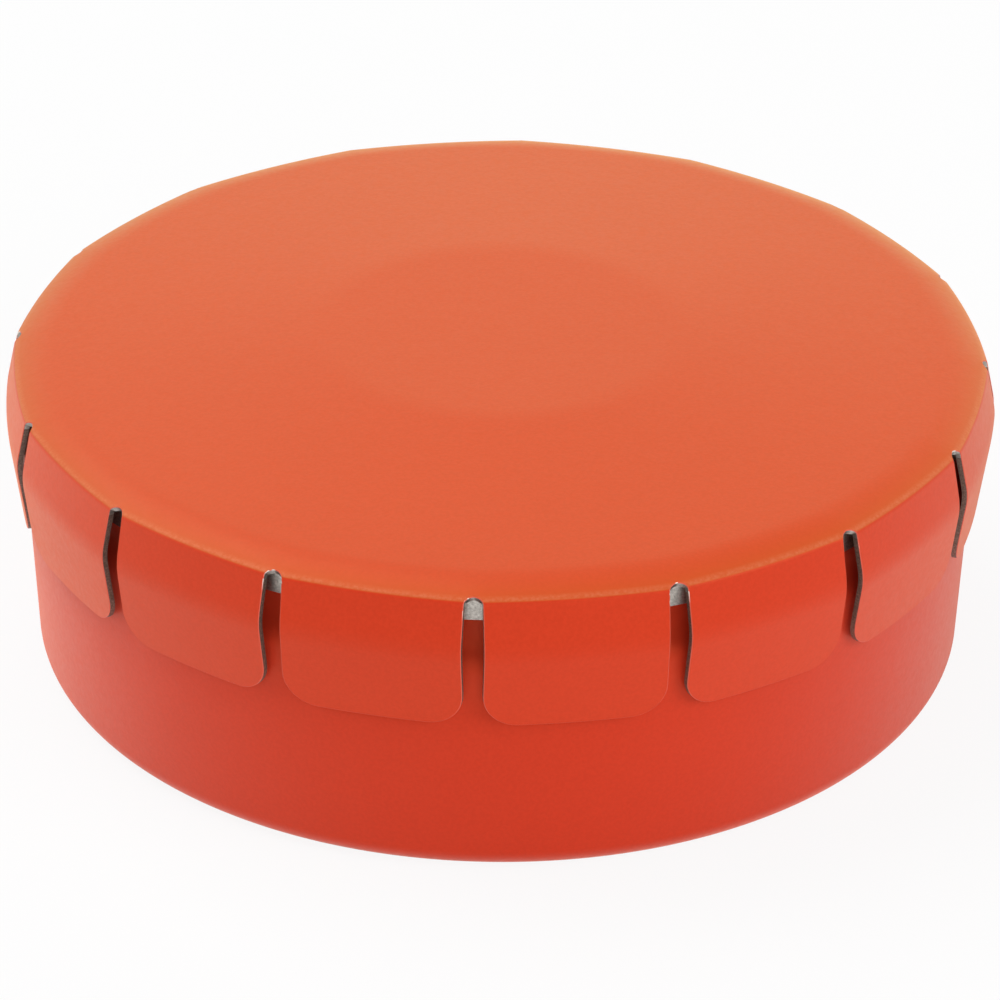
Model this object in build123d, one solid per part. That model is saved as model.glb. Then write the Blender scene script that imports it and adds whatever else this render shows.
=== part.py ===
from build123d import *
from math import cos, radians, sin, sqrt, tan
import os

# A round click tin of two tinplate pressings, a drawn can and a one-sheet lid.
# The lid's skirt is slotted into sixteen tabs. Pressing its middle turns the domed
# panel inside out, and the panel's rim swings the tabs clear of the can.
# Frame: the axis is Z, the underside of the standing ring is at zero height, and
# slots lie on the X and Y axes. Sizes are millimetres and degrees.

# The sheet of both pressings
SHEET = 0.25

# The lid's top, from the middle outwards
LID_TOP = 15.05           # height of the pressing disc
DISC_RADIUS = 8.2         # flat middle that the finger presses
PANEL_SLOPE = 3.1         # fall of the conical panel around the disc
RIM_WIDTH = 2.45          # outer band of the panel that stays still with the shoulder
ROLL_BEND = 4.0           # the band ends in a soft roll of this radius
ROLL_ANGLE = 12           # and this much turn
SHOULDER_BEND = 0.4       # outside radius of the sharp bend into the skirt

# The lid's skirt of sixteen bowed sides, each ending in a tab
SIDES = 16
CORNER_RADIUS = 22.05     # axis to the lid's corners, measured at the slots' tops
SIDE_SET_BACK = 0.165     # a side's middle lies this much nearer to the axis
SLOT_WIDTH = 0.8
TAB_DROP = 6.1            # height of a tab, from the slots' tops to its lower edge
TAB_CORNER = 1.5          # radius of a tab's lower corners
FLARE = 12.7              # a tab leans out above its bulge
TUCK = 7                  # and leans in below it
BULGE_DROP = 2.45         # the widest place lies this far below the slots' tops
BULGE_BEND = 3.1

# The can
WALL_DRAFT = 2.2          # the wall widens upwards, so that it leaves the die
FOOT_BEND = 1.0           # outside radius between the bottom and the wall
STANDING_RING = 1.5       # width of the flat ring that the tin stands on
BOTTOM_RISE = 0.4         # the bottom panel is raised clear of the table
BOTTOM_STEP_ANGLE = 45
NECK_COVER = 1.0          # the wall turns into the neck this far above the tabs' edge
NECK_STEP_ANGLE = 40
CURL_RADIUS = 0.35        # outside radius of the rolled rim
CURL_DROP = 1.03          # height of the rim's straight flank

# Clearances
FLEX_GAP = 0.05           # around the zones of the panel that move
FOLD_GAP = 0.02           # at the fold line of each tab
SEAT_GAP = 0.03           # between the lid's soft roll and the rolled rim under it
SKIRT_GAP = 0.22          # between the lid's skirt and the rolled rim
TAB_GAP = 0.12            # between the tabs' lower edge and the can's wall

# Places on a side of the lid, at the middle of the side
half_pitch = radians(180 / SIDES)
flare = radians(FLARE)
tuck = radians(TUCK)
side_radius = CORNER_RADIUS - SIDE_SET_BACK
shoulder_radius = side_radius - SHOULDER_BEND * cos(flare)
panel_radius = shoulder_radius - RIM_WIDTH
slope = radians(PANEL_SLOPE)
roll = radians(PANEL_SLOPE + ROLL_ANGLE)
roll_radius_place = shoulder_radius - (ROLL_BEND - SHOULDER_BEND) * sin(roll)
cone_end = roll_radius_place + ROLL_BEND * sin(slope)
apex_height = LID_TOP + DISC_RADIUS * tan(slope)
roll_height = apex_height - cone_end * tan(slope) - ROLL_BEND * cos(slope)
shoulder_height = roll_height + (ROLL_BEND - SHOULDER_BEND) * cos(roll)
slot_top = shoulder_height + SHOULDER_BEND * sin(flare)
slot_round = SLOT_WIDTH / 2
fold_height = slot_top - slot_round
flare_run = (BULGE_DROP - BULGE_BEND * sin(flare)) / cos(flare)
tuck_run = (TAB_DROP - BULGE_DROP - BULGE_BEND * sin(tuck)) / cos(tuck)
bulge_radius = side_radius + flare_run * sin(flare) + BULGE_BEND * (1 - cos(flare))
tip_radius = bulge_radius - BULGE_BEND * (1 - cos(tuck)) - tuck_run * sin(tuck)
tip_height = slot_top - TAB_DROP

# A side is an arc through two corners and the set-back middle, so it turns about
# an axis that lies behind the tin's own
half_side = CORNER_RADIUS * sin(half_pitch)
side_flat_radius = CORNER_RADIUS * cos(half_pitch)
bow_offset = (CORNER_RADIUS**2 - side_radius**2) / (2 * (side_radius - side_flat_radius))
bow_axis = Axis((-bow_offset, 0, 0), (0, 0, 1))
reach = 2 * CORNER_RADIUS

# Places on the can, taken from the lid that it has to fit
draft = radians(WALL_DRAFT)
neck_step = radians(NECK_STEP_ANGLE)
bottom_step = radians(BOTTOM_STEP_ANGLE)
skirt_inside = shoulder_radius + (SHOULDER_BEND - SHEET) * cos(flare)
curl_radius_place = skirt_inside - SKIRT_GAP - CURL_RADIUS
seat_reach = ROLL_BEND - SHEET - SEAT_GAP - CURL_RADIUS
curl_height = roll_height + sqrt(seat_reach**2 - (curl_radius_place - roll_radius_place)**2)
wall_top = tip_height + NECK_COVER
wall_radius_at_tip = tip_radius - SHEET * cos(tuck) - TAB_GAP
wall_top_radius = wall_radius_at_tip + NECK_COVER * tan(draft)
foot_height = FOOT_BEND * (1 - sin(draft))
wall_run = (wall_top - foot_height) / cos(draft)
foot_start = wall_top_radius - wall_run * sin(draft) - FOOT_BEND * cos(draft)


def sheet_section(start, heading, steps, bare_side):
    """Section of a sheet, walked along its lacquered face in runs and bends.

    A step is a run's length with no turn, or a bend's radius with its turn, which
    is positive to the left. The bare face lies a sheet away, at the left (1) or
    at the right (-1) of the walk.
    """
    place = Vector(*start)
    turned = heading
    lacquered = []
    bare = []
    for size, turn in steps:
        ahead = Vector(1, 0).rotate(Axis.Z, turned)
        across = Vector(0, bare_side * SHEET).rotate(Axis.Z, turned)
        if turn == 0:
            lacquered.append(Line(place, place + ahead * size))
            bare.append(Line(place + across, place + across + ahead * size))
        else:
            inside_bend = (turn > 0) == (bare_side > 0)
            bare_size = size - SHEET if inside_bend else size + SHEET
            lacquered.append(JernArc(place, ahead, size, turn))
            bare.append(JernArc(place + across, ahead, bare_size, turn))
        place = lacquered[-1] @ 1
        turned += turn
    first_edge = Line(lacquered[0] @ 0, bare[0] @ 0)
    last_edge = Line(lacquered[-1] @ 1, bare[-1] @ 1)
    return make_face([*lacquered, last_edge, *bare, first_edge])


def can_bottom():
    """Section of the raised bottom, its slanted step and the flat standing ring."""
    step_end = foot_start - STANDING_RING
    step_start = step_end - BOTTOM_RISE / tan(bottom_step)
    corner_shift = SHEET * tan(bottom_step / 2)
    outline = Polyline(
        (0, BOTTOM_RISE),
        (step_start, BOTTOM_RISE),
        (step_end, 0),
        (foot_start, 0),
        (foot_start, SHEET),
        (step_end + corner_shift, SHEET),
        (step_start + corner_shift, BOTTOM_RISE + SHEET),
        (0, BOTTOM_RISE + SHEET),
        close=True,
    )
    return make_face(outline)


def can_wall():
    """Section of the foot's bend, the drafted wall and the neck under the lid."""
    neck_radius = curl_radius_place - CURL_RADIUS + SHEET
    neck_in = wall_top_radius - neck_radius
    neck_bend = neck_in / (1 + cos(draft) - 2 * cos(neck_step))
    neck_step_height = neck_bend * (sin(draft) + 2 * sin(neck_step))
    steps = [
        (FOOT_BEND, 90 - WALL_DRAFT),
        (wall_run, 0),
        (neck_bend, WALL_DRAFT + NECK_STEP_ANGLE),
        (neck_bend, -NECK_STEP_ANGLE),
        (curl_height - wall_top - neck_step_height, 0),
    ]
    return sheet_section((foot_start, 0), 0, steps, 1)


def can_rim():
    """Section of the rim, folded outwards and down over the neck."""
    inside = curl_radius_place - CURL_RADIUS
    outside = curl_radius_place + CURL_RADIUS
    fold_ceiling = curl_height + CURL_RADIUS - SHEET
    crest = (curl_radius_place, curl_height + CURL_RADIUS)
    fold = ThreePointArc((inside, curl_height), crest, (outside, curl_height))
    rest = Polyline(
        (outside, curl_height),
        (outside, curl_height - CURL_DROP),
        (outside - SHEET, curl_height - CURL_DROP),
        (outside - SHEET, fold_ceiling),
        (inside + SHEET, fold_ceiling),
        (inside + SHEET, curl_height),
        (inside, curl_height),
    )
    return make_face([fold, rest])


def base_can():
    """The drawn can: raised bottom, standing ring, drafted wall, neck and folded rim."""
    section = can_bottom() + can_wall() + can_rim()
    return revolve(Plane.XZ * section, Axis.Z)


def side_outline():
    """One side of the lid seen square on: a full band above, and the tab below it.

    The tab's sides rise into quarter rounds, each half of a slot's top end.
    """
    tab_half = half_side - slot_round
    half = Polyline(
        (0, reach),
        (reach, reach),
        (reach, slot_top),
        (half_side, slot_top),
    )
    slot_end = RadiusArc(half @ 1, (tab_half, fold_height), -slot_round)
    tab_side = Line(slot_end @ 1, (tab_half, tip_height + TAB_CORNER))
    corner = RadiusArc(tab_side @ 1, (tab_half - TAB_CORNER, tip_height), TAB_CORNER)
    lower_edge = Line(corner @ 1, (0, tip_height))
    right = [half, slot_end, tab_side, corner, lower_edge]
    left = [mirror(line, Plane.YZ) for line in right]
    return make_face([*right, *left])


def lid_side():
    """One sixteenth of the lid's panel and skirt, in the direction of the X axis."""
    steps = [
        (cone_end / cos(slope), 0),
        (ROLL_BEND, -ROLL_ANGLE),
        (SHOULDER_BEND, PANEL_SLOPE + ROLL_ANGLE + FLARE - 90),
        (flare_run, 0),
        (BULGE_BEND, -FLARE - TUCK),
        (tuck_run, 0),
    ]
    section = sheet_section((0, apex_height), -PANEL_SLOPE, steps, -1)
    strip = revolve(Plane.XZ * section, bow_axis, 360 / SIDES)
    strip = strip.rotate(bow_axis, -180 / SIDES)
    far = reach * cos(half_pitch)
    wide = reach * sin(half_pitch)
    wedge = make_face(Polyline((0, 0), (far, -wide), (far, wide), close=True))
    outline = extrude(Plane.YZ * side_outline(), reach)
    return strip & extrude(wedge, reach) & outline


def around(shape, number):
    """The shape turned from the X axis to the given side, counted from 1."""
    return Rot(Z=(number - 0.5) * 360 / SIDES) * shape


def lid_shoulder(side):
    """The panel's outer band and the sixteen-sided shoulder, down to the tabs' fold lines."""
    above_fold = split(side, Plane.XY.offset(fold_height), keep=Keep.TOP)
    ring = Part() + [around(above_fold, number + 1) for number in range(SIDES)]
    return ring - Cylinder(panel_radius, reach)


def lid_tab(side):
    """One tab, from its fold line down to its tucked lower edge."""
    return split(side, Plane.XY.offset(fold_height - FOLD_GAP), keep=Keep.BOTTOM)


def lid_dome():
    """The conical panel between the pressing disc and the still outer band."""
    inner = DISC_RADIUS + FLEX_GAP / 2
    outer = panel_radius - FLEX_GAP
    inner_top = apex_height - inner * tan(slope)
    outer_top = apex_height - outer * tan(slope)
    section = Polyline(
        (inner, inner_top),
        (outer, outer_top),
        (outer, outer_top - SHEET),
        (inner, inner_top - SHEET),
        close=True,
    )
    return revolve(Plane.XZ * make_face(section), Axis.Z)


def press_disc():
    """The flat middle of the lid."""
    disc = Circle(DISC_RADIUS - FLEX_GAP / 2)
    return extrude(Plane.XY.offset(LID_TOP) * disc, -SHEET)


os.makedirs("parts", exist_ok=True)
side = lid_side()
tab = lid_tab(side)
export_step(base_can(), "parts/base_can.step")
export_step(lid_shoulder(side), "parts/lid_shoulder.step")
export_step(lid_dome(), "parts/lid_dome.step")
export_step(press_disc(), "parts/press_disc.step")
for number in range(1, SIDES + 1):
    export_step(around(tab, number), f"parts/tab_{number:02d}.step")
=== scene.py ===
from math import acos, cos, pi, radians, sin, sqrt, tan

import bmesh
import bpy
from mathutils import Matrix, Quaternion, Vector


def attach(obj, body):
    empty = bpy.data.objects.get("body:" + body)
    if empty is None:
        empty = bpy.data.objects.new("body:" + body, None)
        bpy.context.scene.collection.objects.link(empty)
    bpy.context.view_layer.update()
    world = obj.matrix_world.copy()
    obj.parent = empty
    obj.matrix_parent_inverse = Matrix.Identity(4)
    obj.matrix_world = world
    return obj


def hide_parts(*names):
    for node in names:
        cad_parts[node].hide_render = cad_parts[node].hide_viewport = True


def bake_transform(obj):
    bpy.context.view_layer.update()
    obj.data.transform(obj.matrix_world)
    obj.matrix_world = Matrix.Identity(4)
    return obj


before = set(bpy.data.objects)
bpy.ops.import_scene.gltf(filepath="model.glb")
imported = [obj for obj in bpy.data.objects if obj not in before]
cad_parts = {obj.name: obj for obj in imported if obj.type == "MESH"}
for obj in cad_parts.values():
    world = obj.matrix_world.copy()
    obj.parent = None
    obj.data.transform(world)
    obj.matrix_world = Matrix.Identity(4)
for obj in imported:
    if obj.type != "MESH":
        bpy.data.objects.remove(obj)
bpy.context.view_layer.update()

# A round click tin: a drawn can and a one-sheet lid whose skirt is slotted into tabs.
# Lengths below are millimetres in the part's own frame, and MM turns them into metres.
MM = 0.001

SHEET = 0.25
SIDES = 16

# The lid's top
LID_TOP = 15.05
DISC_RADIUS = 8.2
DISC_SOFTNESS = 0.7       # half width of the soft bend around the pressing disc
SLOPE = radians(3.1)      # fall of the conical panel
PANEL_RADIUS = 19.04      # seam between the sinking panel and the band that stays still
ROLL_BEND = 4.0           # soft bend that leads down to the crease
CREASE_BEND = 0.27        # sharp bend between the top and the skirt

# The lid's skirt
CORNER_RADIUS = 22.05     # axis to the corners between two sides
SIDE_SET_BACK = 0.165     # a side's middle lies this much nearer to the axis
SLOT_WIDTH = 0.8
SLOT_TOP = 13.9385
CREASE_BELOW_SLOT = 0.2
SLOT_REACH = 0.2          # the slots' round ends reach over the crease by about this much
TAB_DROP = 6.1            # height of a tab, from the slots' tops to its lower edge
TAB_CORNER = 1.5
FLARE = radians(12.7)     # a tab leans out above its bulge
TUCK = radians(7)         # and leans in below it
BULGE_DROP = 2.45
BULGE_BEND = 3.1
FOLD_BAND = 0.5           # a tab bends within this height below its fold line
MOST_LEAN = radians(0.45)  # each tab leans in by a different amount, up to this one
LEAN_SEED = 7
EDGE_ROLL = 0.03          # the shears roll the lacquered edge over by this much

# The can
WALL_DRAFT = radians(2.2)
FOOT_BEND = 1.0
STANDING_RING = 1.5       # width of the flat ring that the tin stands on
BOTTOM_RISE = 0.4
BOTTOM_STEP = radians(45)
NECK_COVER = 2.2          # the wall turns into the neck this far above the tabs' edge
NECK_STEP = radians(40)
CURL_RADIUS = 0.35
CURL_PLACE = 21.15        # radius of the rolled rim's middle
CURL_DROP = 0.82          # height of the rim's straight flank
SEAT_GAP = 0.03           # between the lid's soft bend and the rolled rim under it
TAB_GAP = 0.12            # between the tabs' lower edge and the can's wall

# How finely each stretch of the sheet is divided
LID_COLUMNS = 256
DISC_RINGS = 8
PANEL_RINGS = 72
SIDE_COLUMNS = 16
BAND_ROWS = 5             # from the panel's seam to the soft bend
ROLL_ROWS = 14
SLOT_END_ROWS = 14
SLOT_FLANK_ROWS = 4
FOLD_BAND_ROWS = 4
TAB_ROWS = 22
TAB_CORNER_ROWS = 10
CAN_COLUMNS = 288
BOTTOM_RINGS = 6
FOOT_ROWS = 12
NECK_ROWS = 8
CURL_ROWS = 12

# Vertices nearer than this are one, and bends sharper than this show as edges
JOIN_DISTANCE = 0.001
SHARP_ANGLE = radians(40)

# Finishes of a face, kept in the mesh as the attribute "finish"
FINISHES = ("Lacquered", "Bare", "Cut", "Rolled", "Skirt")
LACQUERED, BARE, CUT, ROLLED, SKIRT = range(len(FINISHES))

half_pitch = pi / SIDES
disc_edge = DISC_RADIUS - DISC_SOFTNESS
side_radius = CORNER_RADIUS - SIDE_SET_BACK
slot_round = SLOT_WIDTH / 2
fold_height = SLOT_TOP - slot_round
tip_height = SLOT_TOP - TAB_DROP
flare_top = SLOT_TOP - CREASE_BELOW_SLOT
crease_radius_place = side_radius + CREASE_BELOW_SLOT * tan(FLARE) - CREASE_BEND * cos(FLARE)
crease_height = flare_top - CREASE_BEND * sin(FLARE)
apex_height = LID_TOP + DISC_RADIUS * tan(SLOPE)
below_cone = (apex_height - crease_radius_place * tan(SLOPE) - crease_height) * cos(SLOPE)
roll_turn = acos(1 - (below_cone - CREASE_BEND) / (ROLL_BEND - CREASE_BEND))
roll_radius_place = crease_radius_place - (ROLL_BEND - CREASE_BEND) * sin(SLOPE + roll_turn)
cone_end = roll_radius_place + ROLL_BEND * sin(SLOPE)
roll_height = apex_height - cone_end * tan(SLOPE) - ROLL_BEND * cos(SLOPE)
half_side = CORNER_RADIUS * sin(half_pitch)
tab_half = half_side - slot_round
bow_offset = (CORNER_RADIUS**2 - side_radius**2) / (2 * (side_radius - CORNER_RADIUS * cos(half_pitch)))
flare_run = (BULGE_DROP - BULGE_BEND * sin(FLARE)) / cos(FLARE)
bulge_centre_radius = side_radius + flare_run * sin(FLARE) - BULGE_BEND * cos(FLARE)
bulge_centre_height = SLOT_TOP - BULGE_DROP
side_shares = [2 * column / SIDE_COLUMNS - 1 for column in range(SIDE_COLUMNS + 1)]


def new_object(name, data):
    """An object of the scene that holds the given mesh, lamp or camera."""
    thing = bpy.data.objects.new(name, data)
    bpy.context.scene.collection.objects.link(thing)
    return thing


def mesh_piece(name, points, faces, finishes):
    """A mesh object from points in millimetres, with a finish for each face."""
    mesh = bpy.data.meshes.new(name)
    mesh.from_pydata([Vector(p) * MM for p in points], [], faces)
    finish = mesh.attributes.new("finish", "INT", "FACE")
    finish.data.foreach_set("value", finishes)
    return new_object(name, mesh)


# The sheet's sections


def skirt_radius(height, depth):
    """Mid-side radius of the skirt at a height, on a face that lies depth inside the lacquer."""
    bend = BULGE_BEND - depth
    if height >= bulge_centre_height + bend * sin(FLARE):
        return side_radius + (SLOT_TOP - height) * tan(FLARE) - depth / cos(FLARE)
    if height >= bulge_centre_height - bend * sin(TUCK):
        return bulge_centre_radius + sqrt(bend**2 - (height - bulge_centre_height) ** 2)
    tuck_start = bulge_centre_height - bend * sin(TUCK)
    return bulge_centre_radius + bend * cos(TUCK) - (tuck_start - height) * tan(TUCK)


def above_fold(distance, depth):
    """(radius, height) at a distance up the sheet from the fold line, depth inside the lacquer."""
    straight = (flare_top - fold_height) / cos(FLARE)
    if distance < straight:
        height = fold_height + distance * cos(FLARE) - depth * sin(FLARE) * distance / straight
        return skirt_radius(height, depth), height
    angle = FLARE + (distance - straight) / CREASE_BEND
    crease_end = pi / 2 - SLOPE - roll_turn
    if angle < crease_end:
        bend = CREASE_BEND - depth
        return crease_radius_place + bend * cos(angle), crease_height + bend * sin(angle)
    angle = crease_end + (angle - crease_end) * CREASE_BEND / ROLL_BEND
    bend = ROLL_BEND - depth
    return roll_radius_place + bend * cos(angle), roll_height + bend * sin(angle)


def on_side(radius, lateral, height):
    """Point of a side of the lid that faces +X. Sides are bowed about an axis behind the tin's."""
    return (sqrt((radius + bow_offset) ** 2 - lateral**2) - bow_offset, lateral, height)


def at_azimuth(radius, azimuth, height):
    """The same, for a direction from the tin's axis instead of a lateral place."""
    reach = sqrt((radius + bow_offset) ** 2 - (bow_offset * sin(azimuth)) ** 2) - bow_offset * cos(azimuth)
    return (reach * cos(azimuth), reach * sin(azimuth), height)


def top_height(radius):
    """Height of the lid's lacquered top at a radius: flat disc, soft bend and conical panel."""
    bent = min(max(radius - DISC_RADIUS + DISC_SOFTNESS, 0), 2 * DISC_SOFTNESS)
    straight = max(radius - DISC_RADIUS - DISC_SOFTNESS, 0)
    return LID_TOP - tan(SLOPE) * (bent**2 / (4 * DISC_SOFTNESS) + straight)


def bend_points(centre, radius, first, last, steps):
    """Points of a bend from one direction to another, both in radians."""
    return [
        (
            centre[0] + radius * cos(first + (last - first) * k / steps),
            centre[1] + radius * sin(first + (last - first) * k / steps),
        )
        for k in range(steps + 1)
    ]


# Turned sheets


def rings(profile, columns):
    """Points of a profile of (radius, height) turned about the axis, ring by ring."""
    return [
        (radius * cos(2 * pi * k / columns), radius * sin(2 * pi * k / columns), height)
        for radius, height in profile
        for k in range(columns)
    ]


def ring_faces(first, second, columns):
    """Quads between two rings that start at the given points."""
    return [
        (first + k, first + (k + 1) % columns, second + (k + 1) % columns, second + k)
        for k in range(columns)
    ]


def turned_piece(name, profile, finishes, columns):
    """A turned sheet with a finish for each stretch of the profile, whose outside is at the right."""
    faces = []
    face_finishes = []
    for row, finish in enumerate(finishes):
        faces += ring_faces(row * columns, (row + 1) * columns, columns)
        face_finishes += [finish] * columns
    return mesh_piece(name, rings(profile, columns), faces, face_finishes)


def close_middles(piece, middles):
    """Closes the round holes in a turned sheet's middle, each given as (height, finish)."""
    shape = bmesh.new()
    shape.from_mesh(piece.data)
    layer = shape.faces.layers.int["finish"]
    near = SHEET * MM / 4
    for height, finish in middles:
        middle = [e for e in shape.edges if e.is_boundary and abs(e.verts[0].co.z - height * MM) < near]
        for face in bmesh.ops.edgeloop_fill(shape, edges=middle)["faces"]:
            face[layer] = finish
            bmesh.ops.poke(shape, faces=[face])
    shape.to_mesh(piece.data)
    shape.free()


def press_disc():
    """The flat middle of the lid, lacquered above and bare below."""
    radii = [disc_edge * ring / DISC_RINGS for ring in range(1, DISC_RINGS + 1)]
    underside = LID_TOP - SHEET
    profile = [(r, underside) for r in radii] + [(r, LID_TOP) for r in reversed(radii)]
    finishes = [BARE] * (len(radii) - 1) + [CUT] + [LACQUERED] * (len(radii) - 1)
    piece = turned_piece("lid_press_disc", profile, finishes, LID_COLUMNS)
    close_middles(piece, ((underside, BARE), (LID_TOP, LACQUERED)))
    return piece


def panel_skin(name, drop, finish):
    """One face of the conical panel, drop below the lacquered one."""
    profile = []
    for ring in range(PANEL_RINGS + 1):
        radius = disc_edge + (PANEL_RADIUS - disc_edge) * ring / PANEL_RINGS
        profile.append((radius, top_height(radius) - drop))
    if finish == LACQUERED:
        profile.reverse()
    return turned_piece(name, profile, [finish] * PANEL_RINGS, LID_COLUMNS)


def can_profiles():
    """The can's outer and inner outline, from the bottom's step to the rolled rim's cut edge."""
    seat_reach = ROLL_BEND - SHEET - SEAT_GAP - CURL_RADIUS
    curl_height = roll_height + sqrt(seat_reach**2 - (CURL_PLACE - roll_radius_place) ** 2)
    wall_top = tip_height + NECK_COVER
    tip_radius = skirt_radius(tip_height, 0)
    wall_top_radius = tip_radius - SHEET * cos(TUCK) - TAB_GAP + NECK_COVER * tan(WALL_DRAFT)
    foot_height = FOOT_BEND * (1 - sin(WALL_DRAFT))
    wall_run = (wall_top - foot_height) / cos(WALL_DRAFT)
    foot_start = wall_top_radius - wall_run * sin(WALL_DRAFT) - FOOT_BEND * cos(WALL_DRAFT)
    neck_inner = CURL_PLACE - CURL_RADIUS
    neck_in = wall_top_radius - neck_inner - SHEET
    neck_bend = neck_in / (1 + cos(WALL_DRAFT) - 2 * cos(NECK_STEP))
    first_centre = (wall_top_radius - neck_bend * cos(WALL_DRAFT), wall_top + neck_bend * sin(WALL_DRAFT))
    second_centre = (
        first_centre[0] + 2 * neck_bend * cos(NECK_STEP),
        first_centre[1] + 2 * neck_bend * sin(NECK_STEP),
    )
    step_end = foot_start - STANDING_RING
    step_start = step_end - BOTTOM_RISE / tan(BOTTOM_STEP)
    mitre = SHEET * tan(BOTTOM_STEP / 2)
    outlines = []
    for depth in (0, SHEET):
        shift = mitre * depth / SHEET
        outline = [(step_start + shift, BOTTOM_RISE + depth), (step_end + shift, depth)]
        foot = bend_points((foot_start, FOOT_BEND), FOOT_BEND - depth, -pi / 2, -WALL_DRAFT, FOOT_ROWS)
        neck = bend_points(first_centre, neck_bend - depth, -WALL_DRAFT, NECK_STEP, NECK_ROWS)
        collar = bend_points(second_centre, neck_bend + depth, pi + NECK_STEP, pi, NECK_ROWS)
        curl = bend_points((CURL_PLACE, curl_height), CURL_RADIUS - SHEET + depth, pi, 0, CURL_ROWS)
        outline += foot + neck + collar + curl
        outline.append((curl[-1][0], curl_height - CURL_DROP))
        outlines.append(outline)
    return outlines


def can_sheet():
    """The drawn can, lacquered outside and bare inside, with the bare face round the rim."""
    outer, inner = [
        [(outline[0][0] * ring / BOTTOM_RINGS, outline[0][1]) for ring in range(1, BOTTOM_RINGS)] + outline
        for outline in can_profiles()
    ]
    finishes = [LACQUERED] * (len(outer) - 1) + [CUT] + [BARE] * (len(inner) - 1)
    piece = turned_piece("can_sheet", outer + inner[::-1], finishes, CAN_COLUMNS)
    close_middles(piece, ((outer[0][1], LACQUERED), (inner[0][1], BARE)))
    return piece


# The lid's sides


def shoulder_rows(depth, slot_end):
    """Rows of (radius, height) from the panel's seam down to the row at a slot's end."""
    rows = []
    for row in range(BAND_ROWS):
        radius = PANEL_RADIUS + (cone_end - PANEL_RADIUS) * row / BAND_ROWS
        rows.append((radius, apex_height - radius * tan(SLOPE) - depth / cos(SLOPE)))
    bend = ROLL_BEND - depth
    first = pi / 2 - SLOPE
    last = acos((slot_end[0] - roll_radius_place) / bend)
    return rows + bend_points((roll_radius_place, roll_height), bend, first, last, ROLL_ROWS)[:-1]


def sheet_piece(name, front, edges, back, lower_edge, skirt_row):
    """A bowed sheet between rows of front and back points, with a rolled edge between them.

    The lid's skirt starts at skirt_row, and above it the sheet is the lid's top. The
    edges are pairs of points, left and right, beside the last rows of the front.
    Without a lower edge the sheet ends there at a fold line.
    """
    rows = len(front)
    width = len(front[0])
    last = width - 1
    points = [tuple(point) for rows_of in (front, back, edges) for row in rows_of for point in row]
    points += lower_edge
    behind = rows * width
    edge_start = 2 * behind
    lower_start = edge_start + 2 * len(edges)
    first_edge = rows - len(edges)
    faces = []
    finishes = []

    def add(finish, *corners):
        faces.append(corners)
        finishes.append(finish)

    for row in range(rows - 1):
        for column in range(last):
            a = row * width + column
            outside = (a, a + width, a + width + 1, a + 1)
            add(SKIRT if row >= skirt_row else LACQUERED, *outside)
            add(BARE, *(behind + k for k in reversed(outside)))
    for place in range(len(edges) - 1):
        a = (first_edge + place) * width
        b = a + width
        edge = edge_start + 2 * place
        add(ROLLED, a, edge, edge + 2, b)
        add(CUT, edge, behind + a, behind + b, edge + 2)
        add(ROLLED, a + last, b + last, edge + 3, edge + 1)
        add(CUT, edge + 1, edge + 3, behind + b + last, behind + a + last)
    end = (rows - 1) * width
    for column in range(last):
        add(CUT, column, column + 1, behind + column + 1, behind + column)
        tip = end + column
        if lower_edge:
            low = lower_start + column
            add(ROLLED, tip, low, low + 1, tip + 1)
            add(CUT, low, behind + tip, behind + tip + 1, low + 1)
        else:
            add(CUT, tip, behind + tip, behind + tip + 1, tip + 1)
    if lower_edge:
        add(CUT, 0, behind, edge_start)
        add(CUT, behind + last, last, edge_start + 1)
    else:
        edge = lower_start - 2
        add(CUT, edge, behind + end, end)
        add(CUT, end + last, behind + end + last, edge + 1)
    return mesh_piece(name, points, faces, finishes)


def across(radius, half, height):
    """A row of points across a side, half to the left and half to the right."""
    return [on_side(radius, share * half, height) for share in side_shares]


def both_edges(radius, half, height):
    """The row's two end points."""
    return [on_side(radius, -half, height), on_side(radius, half, height)]


def slot_rows(clear):
    """(distance above the fold line, half width) of a slot from its round end down."""
    round_end = slot_round + clear
    angles = [pi / 2 * (1 - row / SLOT_END_ROWS) for row in range(SLOT_END_ROWS + 1)]
    rows = [(SLOT_REACH + round_end * sin(angle), round_end * cos(angle)) for angle in angles]
    for row in range(1, SLOT_FLANK_ROWS + 1):
        rows.append((SLOT_REACH * (1 - row / SLOT_FLANK_ROWS), round_end))
    return rows


def blended_row(radius, height):
    """A row of the shoulder that changes from round at the panel's seam to bowed at the crease."""
    bowed_share = min((radius - PANEL_RADIUS) / (crease_radius_place - PANEL_RADIUS), 1)
    row = []
    for share in side_shares:
        azimuth = share * half_pitch
        bowed = Vector(at_azimuth(radius, azimuth, height))
        turned = Vector((radius * cos(azimuth), radius * sin(azimuth), height))
        row.append(turned.lerp(bowed, bowed_share))
    return row


def shoulder_face(depth, clear):
    """Rows of one face of the shoulder, clear of the slots' outline by the given width."""
    slot = slot_rows(clear)
    rows = [blended_row(*place) for place in shoulder_rows(depth, above_fold(slot[0][0], depth))]
    for distance, slot_half in slot:
        radius, height = above_fold(distance, depth)
        rows.append(across(radius, half_side - slot_half, height))
    return rows


def shoulder_side():
    """One sixteenth of the shoulder, facing +X, down to the fold line of its tab."""
    front = shoulder_face(0, EDGE_ROLL)
    edges = []
    for distance, slot_half in slot_rows(0):
        radius, height = above_fold(distance, EDGE_ROLL)
        edges.append(both_edges(radius, half_side - slot_half, height))
    crease_middle = crease_height + CREASE_BEND * sin(pi / 4)
    skirt_row = next(number for number, row in enumerate(front) if row[0][2] < crease_middle)
    return sheet_piece("shoulder_side", front, edges, shoulder_face(SHEET, 0), [], skirt_row)


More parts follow.
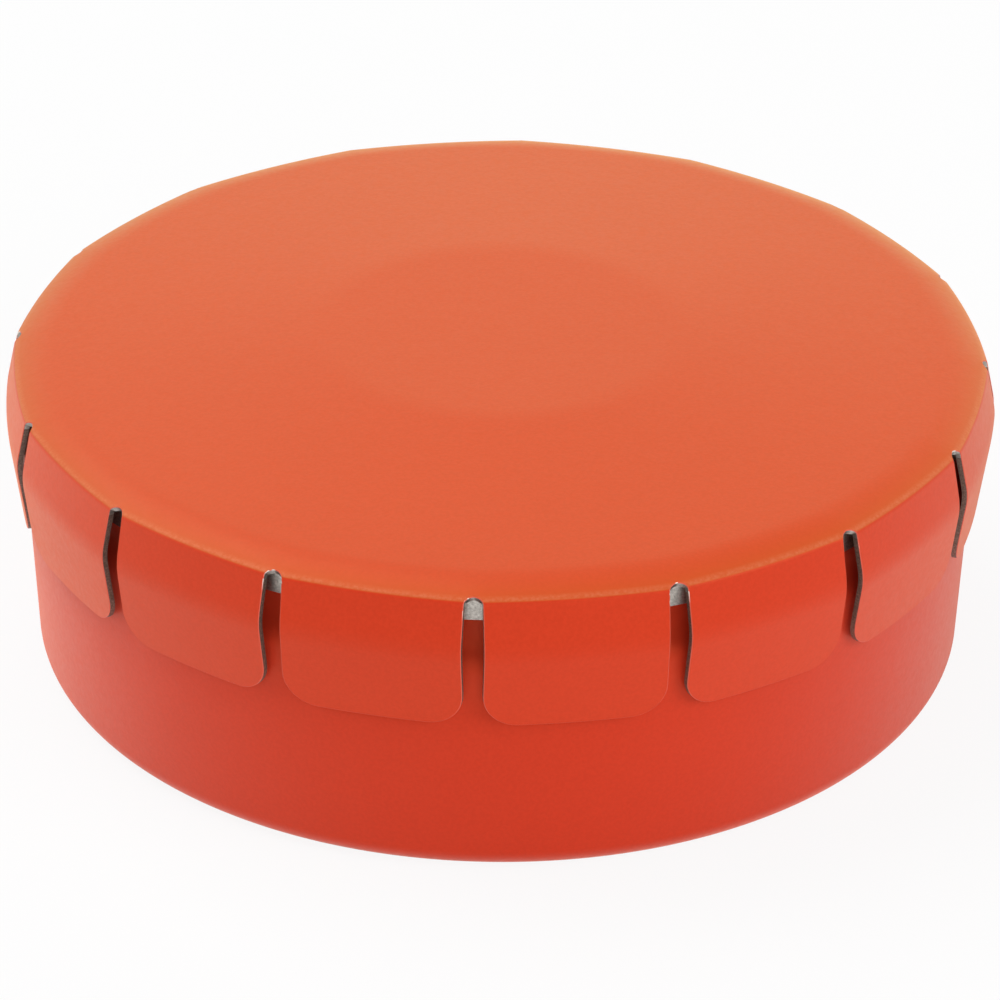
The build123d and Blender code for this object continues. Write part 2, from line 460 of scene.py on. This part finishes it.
def tab_outline(clear):
    """Half widths and heights of a tab from its fold line down, clear inside its outline."""
    band_end = fold_height - FOLD_BAND
    corner_start = tip_height + TAB_CORNER
    heights = [fold_height - FOLD_BAND * row / FOLD_BAND_ROWS for row in range(FOLD_BAND_ROWS)]
    heights += [band_end + (corner_start - band_end) * row / TAB_ROWS for row in range(TAB_ROWS)]
    outline = [(tab_half - clear, height) for height in heights]
    corner_centre = (tab_half - TAB_CORNER, corner_start)
    return outline + bend_points(corner_centre, TAB_CORNER - clear, 0, -pi / 2, TAB_CORNER_ROWS)


def tab_side():
    """One tab facing +X: a bowed, bulged sheet with rounded lower corners."""
    front = [across(skirt_radius(height, 0), half, height) for half, height in tab_outline(EDGE_ROLL)]
    back = []
    edges = []
    for half, height in tab_outline(0):
        back.append(across(skirt_radius(height, SHEET), half, height))
        edges.append(both_edges(skirt_radius(height, EDGE_ROLL), half, height))
    lower_edge = across(skirt_radius(tip_height, EDGE_ROLL), tab_half - TAB_CORNER, tip_height)
    return sheet_piece("tab_side", front, edges, back, lower_edge, 0)


# The node tree that sets sides around the axis


def maths(tree, operation, *values):
    """The result of a sum on numbers and other nodes' outputs."""
    node = tree.nodes.new("ShaderNodeMath")
    node.operation = operation
    for socket, value in zip(node.inputs, values):
        if isinstance(value, (int, float)):
            socket.default_value = value
        else:
            tree.links.new(value, socket)
    return node.outputs[0]


SIDES_TREE_INPUTS = (
    ("One side", "NodeSocketGeometry", None),
    ("Sides around", "NodeSocketInt", SIDES),
    ("First side", "NodeSocketInt", 1),
    ("Number of sides", "NodeSocketInt", SIDES),
    ("Most lean", "NodeSocketFloat", 0.0),
    ("Fold radius", "NodeSocketFloat", 0.0),
    ("Fold height", "NodeSocketFloat", 0.0),
    ("Seed", "NodeSocketInt", LEAN_SEED),
    ("Join distance", "NodeSocketFloat", JOIN_DISTANCE * MM),
    *((finish, "NodeSocketMaterial", None) for finish in FINISHES),
)


def tree_input(tree, name, kind, default):
    """A named input of a geometry tree, by its identifier."""
    socket = tree.interface.new_socket(name=name, in_out="INPUT", socket_type=kind)
    if default is not None:
        socket.default_value = default
    return socket.identifier


def turned_copies(tree, given):
    """Copies of one side turned around the axis, and the number of each side."""
    nodes, links = tree.nodes, tree.links
    places = nodes.new("GeometryNodePoints")
    links.new(given["Number of sides"], places.inputs["Count"])
    index = nodes.new("GeometryNodeInputIndex").outputs[0]
    number = maths(tree, "ADD", index, given["First side"])
    pitch = maths(tree, "DIVIDE", 2 * pi, given["Sides around"])
    turn = maths(tree, "MULTIPLY", maths(tree, "SUBTRACT", number, 0.5), pitch)
    direction = nodes.new("ShaderNodeCombineXYZ")
    links.new(turn, direction.inputs["Z"])
    copies = nodes.new("GeometryNodeInstanceOnPoints")
    links.new(places.outputs[0], copies.inputs["Points"])
    links.new(given["One side"], copies.inputs["Instance"])
    links.new(direction.outputs[0], copies.inputs["Rotation"])
    return copies.outputs[0], number


def leaning_copies(tree, given, copies, number):
    """The copies, each leaning in about its fold by its own random amount."""
    nodes, links = tree.nodes, tree.links
    lean = nodes.new("FunctionNodeRandomValue")
    lean.data_type = "FLOAT"
    links.new(given["Most lean"], lean.inputs[3])
    links.new(number, lean.inputs["ID"])
    links.new(given["Seed"], lean.inputs["Seed"])
    lean_turn = nodes.new("ShaderNodeCombineXYZ")
    links.new(lean.outputs[1], lean_turn.inputs["Y"])
    pivot = nodes.new("ShaderNodeCombineXYZ")
    links.new(given["Fold radius"], pivot.inputs["X"])
    links.new(given["Fold height"], pivot.inputs["Z"])
    leaning = nodes.new("GeometryNodeRotateInstances")
    links.new(copies, leaning.inputs["Instances"])
    links.new(lean_turn.outputs[0], leaning.inputs["Rotation"])
    links.new(pivot.outputs[0], leaning.inputs["Pivot Point"])
    leaning.inputs["Local Space"].default_value = True
    return leaning.outputs[0]


def joined_copies(tree, given, copies):
    """The copies as one mesh whose neighbouring sides share their vertices."""
    real = tree.nodes.new("GeometryNodeRealizeInstances")
    tree.links.new(copies, real.inputs[0])
    joined = tree.nodes.new("GeometryNodeMergeByDistance")
    tree.links.new(real.outputs[0], joined.inputs["Geometry"])
    tree.links.new(given["Join distance"], joined.inputs["Distance"])
    return joined.outputs[0]


def coated_by_finish(tree, given, sides):
    """The sides with the given material on the faces of each finish."""
    nodes, links = tree.nodes, tree.links
    finish = nodes.new("GeometryNodeInputNamedAttribute")
    finish.data_type = "INT"
    finish.inputs["Name"].default_value = "finish"
    for value, name in enumerate(FINISHES):
        chosen = nodes.new("FunctionNodeCompare")
        chosen.data_type = "INT"
        chosen.operation = "EQUAL"
        links.new(finish.outputs["Attribute"], chosen.inputs[2])
        chosen.inputs[3].default_value = value
        coat = nodes.new("GeometryNodeSetMaterial")
        links.new(sides, coat.inputs["Geometry"])
        links.new(chosen.outputs[0], coat.inputs["Selection"])
        links.new(given[name], coat.inputs["Material"])
        sides = coat.outputs[0]
    return sides


def sides_around_axis():
    """Tree that sets copies of one side around the tin's axis and gives them their finishes."""
    tree = bpy.data.node_groups.new("sides_around_axis", "GeometryNodeTree")
    names = {name: tree_input(tree, name, kind, default) for name, kind, default in SIDES_TREE_INPUTS}
    tree.interface.new_socket(name="Sides", in_out="OUTPUT", socket_type="NodeSocketGeometry")
    given = tree.nodes.new("NodeGroupInput").outputs
    copies, number = turned_copies(tree, given)
    sides = joined_copies(tree, given, leaning_copies(tree, given, copies, number))
    result = tree.nodes.new("NodeGroupOutput")
    tree.links.new(coated_by_finish(tree, given, sides), result.inputs[0])
    return tree, names


def placed_sides(name, side, tree, names, values):
    """A plain mesh object of the sides that the tree makes of one side."""
    maker = side.modifiers.new("around", "NODES")
    maker.node_group = tree
    for input_name, value in values.items():
        maker[names[input_name]] = value
    bpy.context.view_layer.update()
    evaluated = side.evaluated_get(bpy.context.evaluated_depsgraph_get())
    mesh = bpy.data.meshes.new_from_object(evaluated)
    side.modifiers.remove(maker)
    mesh.name = name
    return new_object(name, mesh)


def coated(piece, materials):
    """Gives a turned piece the materials of its faces' finishes."""
    for material in materials:
        piece.data.materials.append(material)
    finish = piece.data.attributes["finish"]
    for face, value in zip(piece.data.polygons, finish.data):
        face.material_index = value.value
    return piece


def finished(piece):
    """Smooth faces with sharp cut edges, and each point's height at rest for the lacquer."""
    mesh = piece.data
    mesh.polygons.foreach_set("use_smooth", [True] * len(mesh.polygons))
    mesh.set_sharp_from_angle(angle=SHARP_ANGLE)
    height = mesh.attributes.new("height", "FLOAT", "POINT")
    height.data.foreach_set("value", [vertex.co.z / MM for vertex in mesh.vertices])
    return piece


# What the materials are made of

NOISE_RANGE = (0.35, 0.65)     # most of a noise's values lie between these
WIDE_NOISE_RANGE = (0.3, 0.7)  # and nearly all of them between these
NONE_TO_ALL = (0, 1)


def new_material(name):
    """An empty node material with its tree and shader."""
    material = bpy.data.materials.new(name)
    material.use_nodes = True
    tree = material.node_tree
    return material, tree, tree.nodes["Principled BSDF"]


def grain(tree, size, detail=2.0, roughness=0.5):
    """Noise whose lumps are about size millimetres across."""
    place = tree.nodes.new("ShaderNodeTexCoord")
    noise = tree.nodes.new("ShaderNodeTexNoise")
    noise.inputs["Scale"].default_value = 1 / (size * MM)
    noise.inputs["Detail"].default_value = detail
    noise.inputs["Roughness"].default_value = roughness
    tree.links.new(place.outputs["Object"], noise.inputs["Vector"])
    return noise.outputs["Fac"]


def ranged(tree, value, given, wanted):
    """A value moved from one range to another, and kept within it."""
    node = tree.nodes.new("ShaderNodeMapRange")
    node.inputs["From Min"].default_value, node.inputs["From Max"].default_value = given
    node.inputs["To Min"].default_value, node.inputs["To Max"].default_value = wanted
    tree.links.new(value, node.inputs["Value"])
    return node.outputs["Result"]


def toned(tree, share, first, second):
    """A colour between two tones. The first one may be the output of another node."""
    node = tree.nodes.new("ShaderNodeMix")
    node.data_type = "RGBA"
    tree.links.new(share, node.inputs["Factor"])
    if isinstance(first, tuple):
        node.inputs["A"].default_value = (*first, 1)
    else:
        tree.links.new(first, node.inputs["A"])
    node.inputs["B"].default_value = (*second, 1)
    return node.outputs["Result"]


def by_height(tree, stops):
    """Share of 0 to 1 by the height at rest, from stops of (height in millimetres, share)."""
    height = tree.nodes.new("ShaderNodeAttribute")
    height.attribute_name = "height"
    low, high = stops[0][0], stops[-1][0]
    ramp = tree.nodes.new("ShaderNodeValToRGB")
    elements = ramp.color_ramp.elements
    while len(elements) < len(stops):
        elements.new(0.5)
    for element, (stop, share) in zip(elements, stops):
        element.position = (stop - low) / (high - low)
        element.color = (share, share, share, 1)
    tree.links.new(ranged(tree, height.outputs["Fac"], (low, high), NONE_TO_ALL), ramp.inputs["Fac"])
    return ramp.outputs["Color"]


def bumped(tree, height, depth, below=None):
    """Relief of a height pattern, depth in millimetres from its valleys to its hills."""
    node = tree.nodes.new("ShaderNodeBump")
    node.inputs["Strength"].default_value = 1.0
    node.inputs["Distance"].default_value = depth * MM
    tree.links.new(height, node.inputs["Height"])
    if below is not None:
        tree.links.new(below, node.inputs["Normal"])
    return node.outputs["Normal"]


# The lacquers. Tones are linear colours, and the stops are heights above the crease or the
# tabs' lower edge with the share of the tone there.

LID_TONES = ((0.74, 0.040, 0.012), (0.66, 0.031, 0.008))
CAN_TONES = ((0.72, 0.034, 0.009), (0.64, 0.026, 0.006))
# Painted reflection: the lid's top has an orange sheen tint as a warm reflection, while the skirt and the
# can keep a pinkish one.
TOP_PAINTED_WARM_SHEEN = (1.0, 0.55, 0.16)
SKIRT_SHEEN = (1.0, 0.38, 0.20)
CAN_SHEEN = (1.0, 0.36, 0.25)

# Painted light: the lid's lacquer is lighter over the soft bend above the crease, where the sloping sheet
# would render darker than the top.
SOFT_BEND_PAINTED_LIGHT_TONE = (0.66, 0.088, 0.018)
SOFT_BEND_PAINTED_LIGHT_STOPS = ((-0.09, 0), (-0.04, 1), (0.02, 0.8))
# Painted highlight: a grainy lighter line along the crease.
CREASE_PAINTED_HIGHLIGHT_TONE = (0.74, 0.19, 0.09)
CREASE_PAINTED_HIGHLIGHT_STOPS = ((-0.06, 0), (-0.025, 0.7), (0.02, 0.7), (0.11, 0))
CREASE_PAINTED_HIGHLIGHT_GRAIN = 0.14
CREASE_PAINTED_HIGHLIGHT_SHARES = (0.2, 0.8)
# Painted light: the can's wall behind the tabs is lighter, as light reaching it through the slots.
SLOT_PAINTED_LIGHT_TONE = (0.84, 0.050, 0.016)
SLOT_PAINTED_LIGHT_STOPS = ((0.3, 0), (1.5, 1))

SPECK_GRAIN = 0.16
SPECK_SHARES = (0.10, 0.60)
SPECK_DEPTH = 0.004
CLOUD_GRAIN = 6.0
CLOUD_SHARE = 0.3
GLOSS_GRAIN = 0.3
LACQUER_ROUGHNESS = (0.34, 0.44)
PEEL_GRAIN = 0.9
PEEL_DEPTH = 0.006


def raised(stops, height):
    """Stops counted from a height."""
    return tuple((height + stop, share) for stop, share in stops)


def painted_light_over_crease(tree, colour):
    """The lid's lacquer with painted light: a lighter band over the soft bend and a grainy painted
    highlight line along the crease.
    """
    start = crease_height + CREASE_BEND * cos(SLOPE + roll_turn)
    # painted light over the soft bend
    painted_bend_light = by_height(tree, (*raised(SOFT_BEND_PAINTED_LIGHT_STOPS, start), (roll_height + ROLL_BEND, 0)))
    colour = toned(tree, painted_bend_light, colour, SOFT_BEND_PAINTED_LIGHT_TONE)
    # painted highlight along the crease
    specks = ranged(tree, grain(tree, CREASE_PAINTED_HIGHLIGHT_GRAIN, detail=3), NOISE_RANGE, CREASE_PAINTED_HIGHLIGHT_SHARES)
    painted_highlight = maths(tree, "MULTIPLY", by_height(tree, raised(CREASE_PAINTED_HIGHLIGHT_STOPS, start)), specks)
    return toned(tree, painted_highlight, colour, CREASE_PAINTED_HIGHLIGHT_TONE)


def painted_light_under_tabs(tree, colour):
    """The can's lacquer, painted lighter from the tabs' lower edge upwards, as light that reaches the wall
    behind the tabs and slots.
    """
    return toned(tree, by_height(tree, raised(SLOT_PAINTED_LIGHT_STOPS, tip_height)), colour, SLOT_PAINTED_LIGHT_TONE)


def satin_lacquer(name, tones, sheen, zone):
    """Satin baked lacquer: two close tones, a fine grain and a faint orange peel.

    The zone is a function that paints light into the colour by its place on the piece.
    """
    material, tree, shader = new_material(name)
    speck = grain(tree, SPECK_GRAIN, detail=3)
    specks = ranged(tree, speck, NOISE_RANGE, SPECK_SHARES)
    share = maths(tree, "MULTIPLY_ADD", grain(tree, CLOUD_GRAIN), CLOUD_SHARE, specks)
    tree.links.new(zone(tree, toned(tree, share, *tones)), shader.inputs["Base Color"])
    gloss = ranged(tree, grain(tree, GLOSS_GRAIN), WIDE_NOISE_RANGE, LACQUER_ROUGHNESS)
    tree.links.new(gloss, shader.inputs["Roughness"])
    peel = bumped(tree, grain(tree, PEEL_GRAIN, detail=1), PEEL_DEPTH)
    tree.links.new(bumped(tree, speck, SPECK_DEPTH, peel), shader.inputs["Normal"])
    shader.inputs["Specular IOR Level"].default_value = 0.4
    shader.inputs["Specular Tint"].default_value = (1.0, 0.45, 0.2, 1)
    shader.inputs["Sheen Tint"].default_value = (*sheen, 1)
    shader.inputs["Sheen Weight"].default_value = 0.9
    shader.inputs["Sheen Roughness"].default_value = 0.5
    return material


# The bare metal and the sheared edges

# Painted shade: the can's bare tin is a darker copy of the lid's, for the shade its rim sits in behind the
# slots; the shoulder's cut slot ends use it too.
SHADE_DIMMED_TIN_TONES = ((0.62, 0.58, 0.53), (0.34, 0.31, 0.28))
BRIGHT_TONES = ((0.85, 0.80, 0.73), (0.62, 0.57, 0.51))
# Dark steel with a painted reddish reflection of the lacquer beside it.
STEEL_AND_RED_REFLECTION_TONES = ((0.30, 0.19, 0.15), (0.13, 0.08, 0.06))
# Painted highlight: the rolled edge is lighter and pinker than the lacquer, as a light line along the
# edges.
EDGE_PAINTED_HIGHLIGHT_TONE = (0.78, 0.10, 0.05)
BURR_TONE = (0.80, 0.74, 0.66)
BURR_DEPTHS = ((0.9, 0), (0.3, 1))     # depth below the slots' tops, and share of the burrs there
BURR_GRAIN = 0.5
BURR_RANGE = (0.55, 0.6)               # only a noise's highest hills are burrs


def granular_metal(name, tones, size, metallic, roughness, depth):
    """Dull metal with a grain of the given size and depth, in millimetres."""
    material, tree, shader = new_material(name)
    shader.inputs["Metallic"].default_value = metallic
    speck = grain(tree, size, detail=4, roughness=0.7)
    share = ranged(tree, speck, NOISE_RANGE, NONE_TO_ALL)
    tree.links.new(toned(tree, share, *tones), shader.inputs["Base Color"])
    tree.links.new(ranged(tree, speck, WIDE_NOISE_RANGE, roughness), shader.inputs["Roughness"])
    tree.links.new(bumped(tree, speck, depth), shader.inputs["Normal"])
    return material


def bare_tinplate(name, tones):
    """Dull bright tin, granular from the rolling of the sheet."""
    return granular_metal(name, tones, size=0.12, metallic=1.0, roughness=(0.32, 0.5), depth=0.008)


def cut_steel():
    """The sheared edge of the sheet: dark steel, tinted reddish brown as a painted reflection of the red
    lacquer, rough from the shears.
    """
    rough = (0.38, 0.6)
    return granular_metal("cut_steel", STEEL_AND_RED_REFLECTION_TONES, size=0.09, metallic=0.5, roughness=rough, depth=0.01)


def rolled_edge():
    """The edge where the shears rolled the sheet over: lacquer painted lighter as a highlight line, with a
    few bright burrs.
    """
    material, tree, shader = new_material("rolled_edge")
    near_top = by_height(tree, tuple((SLOT_TOP - depth, share) for depth, share in BURR_DEPTHS))
    spots = ranged(tree, grain(tree, BURR_GRAIN), BURR_RANGE, NONE_TO_ALL)
    burrs = maths(tree, "MULTIPLY", near_top, spots)
    tree.links.new(toned(tree, burrs, EDGE_PAINTED_HIGHLIGHT_TONE, BURR_TONE), shader.inputs["Base Color"])
    tree.links.new(ranged(tree, burrs, NONE_TO_ALL, (0, 0.9)), shader.inputs["Metallic"])
    shader.inputs["Roughness"].default_value = 0.4
    return material


# The studio. Lamps are given as place and size in metres, and power in watts.

WHITE = (1, 1, 1, 1)
ROOM_LIGHT = 0.38
ROOM_FADE = (0.45, 0.8)        # the room seen directly fades between these upward directions
ROOM_WHITES = (1.0, 0.6)
TABLE_SIZE = 3.0
TABLE_TONE = (0.9, 0.9, 0.9, 1)
TABLE_GLOW = 0.9               # share of plain white in the table as it is seen
LAMPS = {
    "light_above": ((-0.22, 0.14, 0.46), 0.40, 1.42),
    "light_right": ((0.45, -0.25, 0.28), 0.35, 1.22),
    "light_low": ((0.16, -0.50, 0.13), 0.30, 0.32),
    "light_left": ((-0.53, -0.06, 0.24), 0.35, 0.48),
}
LAMP_TARGET = Vector((0, 0, 8)) * MM

CAMERA_AZIMUTH = radians(2.6)
CAMERA_ELEVATION = radians(30.0)
CAMERA_ROLL = radians(0.49)
CAMERA_DISTANCE = 210.7
CAMERA_TARGET_HEIGHT = 6.04
CAMERA_LENS = 164.3
CAMERA_SENSOR = 36.0
CAMERA_SHIFT = 0.0014


def white_when_seen(tree):
    """1 for rays from the camera, from glossy surfaces and through glass, otherwise 0."""
    rays = tree.nodes.new("ShaderNodeLightPath").outputs
    seen = maths(tree, "MAXIMUM", rays["Is Camera Ray"], rays["Is Glossy Ray"])
    return maths(tree, "MAXIMUM", seen, rays["Is Transmission Ray"])


def mixed_shaders(tree, share, first, second, surface):
    """Links a mix of two shaders to the surface of an output."""
    mixed = tree.nodes.new("ShaderNodeMixShader")
    tree.links.new(share, mixed.inputs[0])
    tree.links.new(first.outputs[0], mixed.inputs[1])
    tree.links.new(second.outputs[0], mixed.inputs[2])
    tree.links.new(mixed.outputs[0], surface)


def studio_world():
    """An even pale room, white where it is seen."""
    world = bpy.data.worlds.new("studio")
    bpy.context.scene.world = world
    world.use_nodes = True
    tree = world.node_tree
    light = tree.nodes["Background"]
    light.inputs["Color"].default_value = WHITE
    light.inputs["Strength"].default_value = ROOM_LIGHT
    direction = tree.nodes.new("ShaderNodeTexCoord").outputs["Generated"]
    upward = tree.nodes.new("ShaderNodeSeparateXYZ")
    tree.links.new(direction, upward.inputs[0])
    white = tree.nodes.new("ShaderNodeBackground")
    white.inputs["Color"].default_value = WHITE
    tree.links.new(ranged(tree, upward.outputs["Z"], ROOM_FADE, ROOM_WHITES), white.inputs["Strength"])
    surface = tree.nodes["World Output"].inputs["Surface"]
    mixed_shaders(tree, white_when_seen(tree), light, white, surface)


def table_top():
    """A white table top that keeps a faint shadow of the tin."""
    bpy.ops.mesh.primitive_plane_add(size=TABLE_SIZE, location=(0, 0, 0))
    table = bpy.context.object
    table.name = "table_top"
    material, tree, paper = new_material("white_table")
    paper.inputs["Base Color"].default_value = TABLE_TONE
    paper.inputs["Roughness"].default_value = 0.9
    paper.inputs["Specular IOR Level"].default_value = 0.1
    glow = tree.nodes.new("ShaderNodeEmission")
    glow.inputs["Color"].default_value = WHITE
    glow.inputs["Strength"].default_value = 1.0
    share = maths(tree, "MULTIPLY", white_when_seen(tree), TABLE_GLOW)
    mixed_shaders(tree, share, paper, glow, tree.nodes["Material Output"].inputs["Surface"])
    table.data.materials.append(material)


def soft_box(name, place, size, power):
    """A square soft light that faces the tin."""
    light = bpy.data.lights.new(name, "AREA")
    light.shape = "SQUARE"
    light.size = size
    light.energy = power
    lamp = new_object(name, light)
    lamp.location = place
    lamp.rotation_euler = (LAMP_TARGET - Vector(place)).to_track_quat("-Z", "Y").to_euler()


def photograph_camera():
    """The camera of the photograph: a long lens, 30 degrees above the table, a little askew."""
    camera = bpy.data.cameras.new("camera")
    camera.sensor_fit = "HORIZONTAL"
    camera.sensor_width = CAMERA_SENSOR
    camera.lens = CAMERA_LENS
    camera.shift_x = CAMERA_SHIFT
    camera.clip_start = 0.01
    level = cos(CAMERA_ELEVATION)
    back = Vector((sin(CAMERA_AZIMUTH) * level, -cos(CAMERA_AZIMUTH) * level, sin(CAMERA_ELEVATION)))
    target = Vector((0, 0, CAMERA_TARGET_HEIGHT)) * MM
    holder = new_object("camera", camera)
    holder.location = target + back * CAMERA_DISTANCE * MM
    upright = (-back).to_track_quat("-Z", "Y")
    holder.rotation_euler = (upright @ Quaternion((0, 0, 1), CAMERA_ROLL)).to_euler()
    bpy.context.scene.camera = holder


# Putting the tin together

photograph_camera()
studio_world()
table_top()
for lamp_name, lamp_values in LAMPS.items():
    soft_box(lamp_name, *lamp_values)
bpy.context.scene.view_settings.view_transform = "Standard"

# The top and the skirt are copies of one lacquer; the top's orange sheen is a painted warm reflection.
top_lacquer = satin_lacquer("lid_top_lacquer", LID_TONES, TOP_PAINTED_WARM_SHEEN, painted_light_over_crease)
skirt_lacquer = satin_lacquer("lid_skirt_lacquer", LID_TONES, SKIRT_SHEEN, painted_light_over_crease)
can_lacquer = satin_lacquer("can_lacquer", CAN_TONES, CAN_SHEEN, painted_light_under_tabs)
shade_dimmed_tin = bare_tinplate("shade_dimmed_tin", SHADE_DIMMED_TIN_TONES)
bright_tin = bare_tinplate("bright_tin", BRIGHT_TONES)
edge_steel = cut_steel()
sheared = rolled_edge()
lid_materials = (top_lacquer, bright_tin, edge_steel)

# The can's bare faces take the darker tin copy, painted shade.
can = finished(coated(can_sheet(), (can_lacquer, shade_dimmed_tin, edge_steel)))
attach(can, "can")
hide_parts("base_can")

disc = finished(coated(press_disc(), lid_materials))
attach(disc, "press")
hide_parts("press_disc")

for name, drop, finish in (("lid_panel_top", 0, LACQUERED), ("lid_panel_underside", SHEET, BARE)):
    panel = finished(coated(panel_skin(name, drop, finish), lid_materials))
    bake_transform(panel)
    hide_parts("lid_dome")

around, around_inputs = sides_around_axis()
coats = {
    "Lacquered": top_lacquer,
    "Skirt": skirt_lacquer,
    "Bare": bright_tin,
    "Cut": edge_steel,
    "Rolled": sheared,
}

one_side = shoulder_side()
# The shoulder's cut slot ends take the darker tin copy instead of the cut steel.
shoulder_values = {**coats, "Cut": shade_dimmed_tin}
shoulder = finished(placed_sides("lid_shoulder_rim", one_side, around, around_inputs, shoulder_values))
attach(shoulder, "lid")
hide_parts("lid_shoulder")

one_tab = tab_side()
fold = fold_height * MM
tab_values = {
    **coats,
    "Number of sides": 1,
    "Most lean": MOST_LEAN,
    "Fold radius": skirt_radius(fold_height, 0) * MM,
    "Fold height": fold,
}
for number in range(1, SIDES + 1):
    tab_values["First side"] = number
    tab = finished(placed_sides(f"lid_tab_{number:02d}", one_tab, around, around_inputs, tab_values))
    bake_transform(tab)
    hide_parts(f"tab_{number:02d}")

for source in (one_side, one_tab):
    bpy.data.objects.remove(source, do_unlink=True)

bpy.context.view_layer.update()
